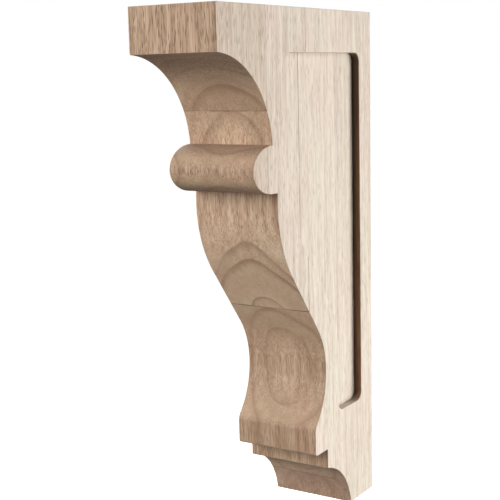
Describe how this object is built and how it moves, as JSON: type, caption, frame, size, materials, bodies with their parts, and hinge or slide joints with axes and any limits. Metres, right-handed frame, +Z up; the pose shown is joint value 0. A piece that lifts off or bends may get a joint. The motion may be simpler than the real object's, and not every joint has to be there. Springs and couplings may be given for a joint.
{
  "type": "wooden corbel bracket",
  "caption": "Wooden corbel bracket: square cap, hollow cove, half-round bead and S-curved front over a stepped foot, with flat top and back and a sunk panel in each side.",
  "frame": {"origin": "centre of the flat back face, where the bracket meets the wall", "axes": "+Z up, -Y out of the wall towards the moulded front, +X to the right as seen from the front"},
  "size_m": [0.0636, 0.197, 0.356],
  "materials": {
    "bare_wood": "raw, sanded, unfinished rubberwood"
  },
  "bodies": {
    "root": {"corbel_bracket": "bare_wood"}
  },
  "joints": []
}
